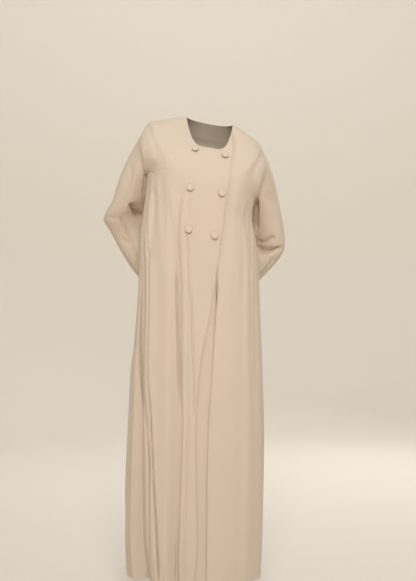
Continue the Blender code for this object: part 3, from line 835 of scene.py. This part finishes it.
def soften(points, numbers, seams):
    """Moves the points near the armholes' seams towards the mean of their neighbours."""
    pairs = []
    for name, number in numbers.items():
        pairs += [(number[:-1], number[1:]), (number[:, :-1], number[:, 1:])]
        if name in SLEEVES:
            pairs.append((number[:, -1], number[:, 0]))
    befores = np.concatenate([before.ravel() for before, after in pairs])
    afters = np.concatenate([after.ravel() for before, after in pairs])
    start, end = np.concatenate((befores, afters)), np.concatenate((afters, befores))
    nearest = np.full(len(points), 1.0)
    for seam_point in points[seams]:
        nearest = np.minimum(nearest, np.linalg.norm(points - seam_point, axis=1))
    facing = np.abs(shared_normals(points, numbers)[:, 1])
    share = SOFT_SHARE * ease(1 - nearest / SOFT_REACH)
    share = share * mix(CORNER_SOFTNESS, 1, ease(facing / SOFT_FACING))
    moving = share[start] > 0
    start, end = start[moving], end[moving]
    count = np.maximum(np.bincount(start, minlength=len(points)), 1)
    for _ in range(SOFT_ROUNDS):
        sums = [np.bincount(start, points[end, axis], len(points)) for axis in range(3)]
        mean = np.stack(sums, axis=-1) / count[:, None]
        points = np.where(share[:, None] > 0, mix(points, mean, share[:, None]), points)
    return points


def shared_normals(points, numbers):
    """Outward normals of all points, the mean of both pieces' where two are sewn together."""
    normals = np.zeros(points.shape)
    for name, number in numbers.items():
        np.add.at(normals, number, outward_normals(name, points[number]))
    return normals / np.maximum(np.linalg.norm(normals, axis=1, keepdims=True), 1e-9)


DRAPED = {}


def draped():
    """The finished points of all five pieces of cloth, worked out once."""
    if DRAPED:
        return DRAPED
    grids = {name: panel_points(name) for name in PANELS}
    grids |= {name: sleeve_points(name) for name in SLEEVES}
    numbers, total, seams = sewn_together(grids)
    points = np.zeros((total, 3))
    for name, grid in reversed(grids.items()):
        points[numbers[name]] = grid
    points = soften(points, numbers, seams)
    normals = shared_normals(points, numbers)
    rises, pieces = np.zeros(total), np.zeros(total)
    for name, number in numbers.items():
        grid, facing = points[number], outward_normals(name, points[number])
        creases = SLEEVES[name][-1] if name in SLEEVES else BODY_CREASES
        rise = crease_rise(grid.reshape(-1, 3), facing.reshape(-1, 3), creases)
        rise = rise.reshape(number.shape) + sewn_rise(name, grid) + wander(grid)
        np.add.at(rises, number, rise)
        np.add.at(pieces, number, 1)
    points = points + normals * (rises / np.maximum(pieces, 1))[:, None]
    normals = shared_normals(points, numbers)
    for name, number in numbers.items():
        DRAPED[name] = points[number], normals[number], pieces[number] > 1
    return DRAPED


def wire(tree, node, inputs):
    """Links each of a node's inputs to the socket given for it, or sets it to the value."""
    for name, value in inputs.items():
        if isinstance(value, bpy.types.NodeSocket):
            tree.links.new(value, node.inputs[name])
        else:
            node.inputs[name].default_value = value


def add_node(tree, kind, inputs, **settings):
    """The outputs of a new shader node with the given settings and inputs."""
    node = tree.nodes.new(f"ShaderNode{kind}")
    for name, value in settings.items():
        setattr(node, name, value)
    wire(tree, node, inputs)
    return node.outputs


def crepe_group():
    """Fine pebbled weave of crepe, from the piece's own lengths: colour share, roughness, bump."""
    name = "Crepe weave"
    if name in bpy.data.node_groups:
        return bpy.data.node_groups[name]
    group = bpy.data.node_groups.new(name, "ShaderNodeTree")
    group.interface.new_socket(name="Vector", in_out="INPUT", socket_type="NodeSocketVector")
    for way, labels in (("INPUT", ("Thread", "Slub")), ("OUTPUT", ("Tone", "Roughness", "Height"))):
        for label in labels:
            group.interface.new_socket(name=label, in_out=way, socket_type="NodeSocketFloat")
    given = group.nodes.new("NodeGroupInput").outputs

    per_thread = add_node(group, "Math", {0: 1000.0, 1: given["Thread"]}, operation="DIVIDE")
    scaled = {0: given["Vector"], "Scale": per_thread[0]}
    threads = add_node(group, "VectorMath", scaled, operation="SCALE")
    axes = add_node(group, "SeparateXYZ", {0: threads[0]})
    waves = []
    for axis in ("X", "Y"):
        turn = add_node(group, "Math", {0: axes[axis], 1: pi}, operation="MULTIPLY")
        waves.append(add_node(group, "Math", {0: turn[0]}, operation="SINE")[0])
    crossing = add_node(group, "Math", {0: waves[0], 1: waves[1]}, operation="MULTIPLY")
    pebble = add_node(group, "TexNoise", {"Scale": 0.8, "Detail": 2.0, "Vector": threads[0]})["Fac"]
    height = add_node(group, "Math", {0: crossing[0], 1: 0.3, 2: pebble}, operation="MULTIPLY_ADD")
    slub = add_node(group, "TexNoise", {"Scale": 9.0, "Detail": 3.0, "Vector": given["Vector"]})
    shares = {"Factor": given["Slub"], "A": pebble, "B": slub["Fac"]}
    tone = add_node(group, "Mix", shares, data_type="FLOAT")
    rough = add_node(group, "MapRange", {"To Min": 0.78, "To Max": 0.92, "Value": pebble})
    found = {"Tone": tone["Result"], "Roughness": rough["Result"], "Height": height[0]}
    wire(group, group.nodes.new("NodeGroupOutput"), found)
    return group


def new_material(name):
    made = bpy.data.materials.new(name)
    made.use_nodes = True
    return made


def set_shader(material, values):
    wire(material.node_tree, material.node_tree.nodes["Principled BSDF"], values)


def tint(tree, colour, tones, share):
    """A colour between two tones of the given one, by the share."""
    low, high = ([min(1.0, channel * tone) for channel in colour] + [1.0] for tone in tones)
    return add_node(tree, "Mix", {"A": low, "B": high, "Factor": share}, data_type="RGBA")["Result"]


def crepe():
    """Matte crepe with a soft sheen, in one colour with slow and fine changes of tone."""
    if "crepe" in bpy.data.materials:
        return bpy.data.materials["crepe"]
    made = new_material("crepe")
    tree = made.node_tree
    lengths = add_node(tree, "UVMap", {}, uv_map="cloth")["UV"]
    grain = {"Vector": lengths, "Thread": sizes().thread_spacing / MM, "Slub": 0.5}
    weave = add_node(tree, "Group", grain, node_tree=crepe_group())
    relief = {"Strength": 0.35, "Distance": 0.0002, "Height": weave["Height"]}
    values = {
        "Base Color": tint(tree, looks().crepe_colour, (0.93, 1.06), weave["Tone"]),
        "Roughness": weave["Roughness"],
        "Normal": add_node(tree, "Bump", relief)["Normal"],
        "Sheen Weight": 0.18,
        "Sheen Roughness": 0.45,
        "Sheen Tint": (1.0, 0.93, 0.84, 1.0),
        "Specular IOR Level": 0.25,
    }
    set_shader(made, values)
    return made


def thread():
    """Sewing thread in the cloth's colour, a little deeper, with a slight twist."""
    if "thread" in bpy.data.materials:
        return bpy.data.materials["thread"]
    made = new_material("thread")
    tree = made.node_tree
    place = add_node(tree, "TexCoord", {})["Object"]
    twist = add_node(tree, "TexNoise", {"Scale": 2500.0, "Vector": place})["Fac"]
    colour = tint(tree, looks().crepe_colour, (0.72, 0.92), twist)
    set_shader(made, {"Base Color": colour, "Roughness": 0.55})
    return made


def length_setting(name, description, default, low, high):
    return FloatProperty(
        name=name, description=description, default=default, min=low, max=high, unit="LENGTH"
    )


def colour_setting(name, description, default):
    return FloatVectorProperty(
        name=name, description=description, default=default, subtype="COLOR", size=3, min=0, max=1
    )


class AbayaSizes(bpy.types.PropertyGroup):
    """Sizes that a maker would change."""

    cloth_wall: length_setting("Cloth wall", "Thickness of the crepe", 0.0012, 0.0004, 0.003)
    button_radius: length_setting(
        "Button radius", "Half of a covered button's width", 0.011, 0.005, 0.02
    )
    button_height: length_setting(
        "Button height", "Height of a covered button's dome", 0.0064, 0.002, 0.012
    )
    thread_spacing: length_setting(
        "Thread spacing", "Width of the crepe's grain", 0.00045, 0.0002, 0.002
    )


class AbayaLooks(bpy.types.PropertyGroup):
    """Colours of the cloth and the studio."""

    crepe_colour: colour_setting("Crepe", "Colour of the cloth", (0.665, 0.552, 0.448))
    floor_colour: colour_setting(
        "Floor", "Colour of the floor and its curved edge", (0.76, 0.713, 0.637)
    )


class ABAYA_OT_fronts(bpy.types.Operator):
    """Drapes the right front and the left front that lies under it"""

    bl_idname = "abaya.fronts"
    bl_label = "Fronts"

    def execute(self, context):
        make_cloth("front_right", (0, -1, 0))
        make_cloth("front_left", (0, -1, 0))
        return {"FINISHED"}


class ABAYA_OT_back(bpy.types.Operator):
    """Drapes the back"""

    bl_idname = "abaya.back"
    bl_label = "Back"

    def execute(self, context):
        make_cloth("back", (0, 1, 0))
        return {"FINISHED"}


class ABAYA_OT_sleeves(bpy.types.Operator):
    """Sets in the two sleeves"""

    bl_idname = "abaya.sleeves"
    bl_label = "Sleeves"

    def execute(self, context):
        make_cloth("sleeve_right", (0, -1, 0))
        make_cloth("sleeve_left", (0, -1, 0))
        return {"FINISHED"}


def make_cloth(name, outward):
    """One piece of cloth with its wall, its weave and the stitches sewn into it."""
    points, normals, sewn = draped()[name]
    rows, columns = points.shape[:2]
    middle = points[rows // 2, columns // (4 if name in SLEEVES else 2)]
    facing = normals * sewn[..., None]
    piece = cloth_mesh(name, points, facing, Vector(middle), Vector(outward))
    give_wall(piece, sizes().cloth_wall)
    attach(piece, name)
    sewing = make_stitches(name, points, normals)
    width, length = lengths_across(points).max(), lengths_down(points).max()


def line_at(points, normals, distance, from_start):
    """A line across all columns at a distance along the cloth from its first or last row."""
    down = lengths_down(points)
    if not from_start:
        down = down[-1:] - down
    line, facing = [], []
    for column in range(points.shape[1]):
        lengths, places = down[:, column], np.arange(len(down))
        order = np.argsort(lengths)
        place = np.array(np.interp(distance, lengths[order], places[order]))
        line.append(rows_between(points[:, column], place))
        facing.append(rows_between(normals[:, column], place))
    return np.array(line), unit(np.array(facing))


def sew(builder, line, facing, step):
    """Stitches along a line on the cloth, each a small capsule half sunk into it."""
    run = lengths_down(line[:, None])[:, 0]
    for middle in np.arange(step / 2, run[-1], step):
        ends = middle - STITCH_LENGTH / 2, middle + STITCH_LENGTH / 2
        start, end = (np.array([np.interp(at, run, line[:, axis]) for axis in range(3)]) for at in ends)
        out = Vector([np.interp(middle, run, facing[:, axis]) for axis in range(3)]).normalized()
        along = Vector(end - start).normalized()
        side = out.cross(along).normalized()
        turned = Matrix((along * STITCH_LENGTH / 2, side * STITCH_RADIUS, out * STITCH_RADIUS)).transposed()
        place = Matrix.Translation((Vector(start) + Vector(end)) / 2) @ turned.to_4x4()
        bmesh.ops.create_uvsphere(builder, u_segments=6, v_segments=5, radius=1.0, matrix=place)


def make_stitches(name, points, normals):
    """The stitches of the neck and hem, or of a cuff, in one piece."""
    builder = bmesh.new()
    if name in SLEEVES:
        points, normals = closed_up(points), closed_up(normals)
        sew(builder, *line_at(points, normals, CUFF_DEPTH * MM, False), HEM_STITCH_STEP)
    else:
        sew(builder, *line_at(points, normals, NECK_LINE * MM, True), NECK_STITCH_STEP)
        sew(builder, *line_at(points, normals, HEM_DEPTH * MM, False), HEM_STITCH_STEP)
    bmesh.ops.recalc_face_normals(builder, faces=builder.faces)
    piece = new_piece(builder, f"{name}_stitches", thread())
    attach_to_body(piece, "root")
    return piece


class ABAYA_OT_buttons(bpy.types.Operator):
    """Makes the six covered buttons and sits them on the right front"""

    bl_idname = "abaya.buttons"
    bl_label = "Covered buttons"

    def execute(self, context):
        cloth = bpy.data.objects.get("front_right_cloth")
        if cloth is None:
            raise RuntimeError("make the fronts before the buttons")
        tree = BVHTree.FromObject(cloth, context.evaluated_depsgraph_get())
        for number, spot in enumerate(BUTTONS, 1):
            make_button(number, *spot, tree)
        return {"FINISHED"}


def turned_form(builder, profile, steps):
    """A round form with the profile's distances from the upright axis and its heights."""
    line = [builder.verts.new((x, 0, z)) for x, z in profile]
    edges = [builder.edges.new(pair) for pair in zip(line, line[1:])]
    bmesh.ops.spin(
        builder, geom=line + edges, cent=(0, 0, 0), axis=(0, 0, 1), angle=2 * pi, steps=steps, use_merge=True
    )
    bmesh.ops.remove_doubles(builder, verts=builder.verts, dist=MERGE)


def button_seat(x, z, tree):
    """Where a button sits on the cloth, and which way it faces."""
    ahead, toward = Vector((x * MM, -1.0, z * MM)), Vector((0, 1, 0))
    middle = tree.ray_cast(ahead, toward)[0]
    probes = []
    for step in range(8):
        angle = 2 * pi * step / 8
        offset = Vector((cos(angle), 0, sin(angle))) * sizes().button_radius * BUTTON_REACH
        probes.append(tree.ray_cast(ahead + offset, toward)[0])
    facing = (probes[0] - probes[4]).cross(probes[2] - probes[6]).normalized()
    if facing.y > 0:
        facing = -facing
    facing.rotate(Matrix.Rotation(-radians(BUTTON_TILT), 3, "X"))
    rise = max((probe - middle).dot(facing) for probe in probes + [middle])
    return middle + facing * (rise + BUTTON_LIFT), facing


def make_button(number, x, z, tree):
    """A domed form covered with cloth that is gathered at its rim."""
    seat, facing = button_seat(x, z, tree)
    radius, height = sizes().button_radius, sizes().button_height
    rim, brow = BUTTON_SIDE[-1]
    dome = [(cos(angle) * rim, brow + sin(angle) * (1 - brow)) for angle in DOME_ANGLES]
    profile = BUTTON_SIDE + dome + [(0.0, 1.0)]
    builder = bmesh.new()
    uv = builder.loops.layers.uv.new("cloth")
    turned_form(builder, [(out * radius, up * height) for out, up in profile], 48)
    for vertex in builder.verts:
        share = hypot(vertex.co.x, vertex.co.y) / radius
        low = 1 - min(1.0, vertex.co.z / (GATHER_HEIGHT * height))
        wave = cos(GATHERS * atan2(vertex.co.y, vertex.co.x))
        pleat = 1 + GATHER_DEPTH * low * max(0.0, share - 0.5) * 2 * wave
        vertex.co.x *= pleat
        vertex.co.y *= pleat
    bmesh.ops.recalc_face_normals(builder, faces=builder.faces)
    for face in builder.faces:
        for loop in face.loops:
            loop[uv].uv = loop.vert.co.x, loop.vert.co.y
    turned = facing.to_track_quat("Z", "Y").to_matrix().to_4x4()
    bmesh.ops.transform(builder, matrix=Matrix.Translation(seat) @ turned, verts=builder.verts)
    piece = new_piece(builder, f"covered_button_{number}", crepe())
    attach(piece, f"button_{number}")


class ABAYA_OT_stage(bpy.types.Operator):
    """Sets up the floor, the soft lights and the camera"""

    bl_idname = "abaya.stage"
    bl_label = "Stage"

    def execute(self, context):
        scene = context.scene
        make_floor()
        for name, (place, aim, side, power, colour) in LIGHTS.items():
            make_light(name, place, aim, side, power, colour)
        world = bpy.data.worlds.new("studio")
        scene.world = world
        world.use_nodes = True
        background = world.node_tree.nodes["Background"]
        background.inputs["Color"].default_value = (1.0, 0.98, 0.95, 1.0)
        background.inputs["Strength"].default_value = 0.58
        camera = bpy.data.cameras.new("camera")
        camera.sensor_width = 36.0
        camera.lens = 65.96
        seen_from = bpy.data.objects.new("camera", camera)
        seen_from.location = (-0.0031, -3.3, -0.5317)
        seen_from.rotation_euler = (pi / 2, 0, 0)
        scene.collection.objects.link(seen_from)
        scene.camera = seen_from
        scene.view_settings.view_transform = "Standard"
        scene.view_settings.look = "None"
        return {"FINISHED"}


def make_light(name, place, aim, side, power, colour):
    lamp = bpy.data.lights.new(name, "AREA")
    lamp.shape = "SQUARE"
    lamp.size = side
    lamp.energy = power
    lamp.color = colour
    holder = bpy.data.objects.new(name, lamp)
    holder.location = place
    holder.visible_camera = False
    holder.rotation_euler = (Vector(aim) - Vector(place)).to_track_quat("-Z", "Y").to_euler()
    bpy.context.scene.collection.objects.link(holder)


def make_floor():
    """A round floor that curves up at its rim."""
    height, flat, bend, top = -1.49, 3.6, 1.6, 2.6
    profile = [(0.0, height), (flat, height)]
    for step in range(1, 13):
        angle = pi / 2 * step / 12
        profile.append((flat + bend * sin(angle), height + bend * (1 - cos(angle))))
    profile.append((flat + bend, height + bend + top))
    builder = bmesh.new()
    turned_form(builder, profile, 96)
    bmesh.ops.recalc_face_normals(builder, faces=builder.faces)
    paint = new_material("floor")
    set_shader(paint, {"Base Color": list(looks().floor_colour) + [1.0], "Roughness": 0.9})
    new_piece(builder, "floor", paint)


class VIEW3D_PT_abaya(bpy.types.Panel):
    """Lists the abaya's sizes, looks and pieces"""

    bl_label = "Abaya"
    bl_space_type = "VIEW_3D"
    bl_region_type = "UI"
    bl_category = "Abaya"

    def draw(self, context):
        for group in (context.scene.abaya_sizes, context.scene.abaya_looks):
            box = self.layout.box()
            for name in group.__annotations__:
                box.prop(group, name)
        for operator in OPERATORS:
            self.layout.operator(operator.bl_idname)


OPERATORS = (
    ABAYA_OT_fronts,
    ABAYA_OT_back,
    ABAYA_OT_sleeves,
    ABAYA_OT_buttons,
    ABAYA_OT_stage,
)
CLASSES = (AbayaSizes, AbayaLooks, *OPERATORS, VIEW3D_PT_abaya)


def register():
    for each in CLASSES:
        bpy.utils.register_class(each)
    bpy.types.Scene.abaya_sizes = PointerProperty(type=AbayaSizes)
    bpy.types.Scene.abaya_looks = PointerProperty(type=AbayaLooks)


def unregister():
    del bpy.types.Scene.abaya_looks
    del bpy.types.Scene.abaya_sizes
    for each in reversed(CLASSES):
        bpy.utils.unregister_class(each)


def main():
    register()
    bpy.ops.abaya.fronts()
    bpy.ops.abaya.back()
    bpy.ops.abaya.sleeves()
    bpy.ops.abaya.buttons()
    bpy.ops.abaya.stage()


if __name__ == "__main__":
    main()
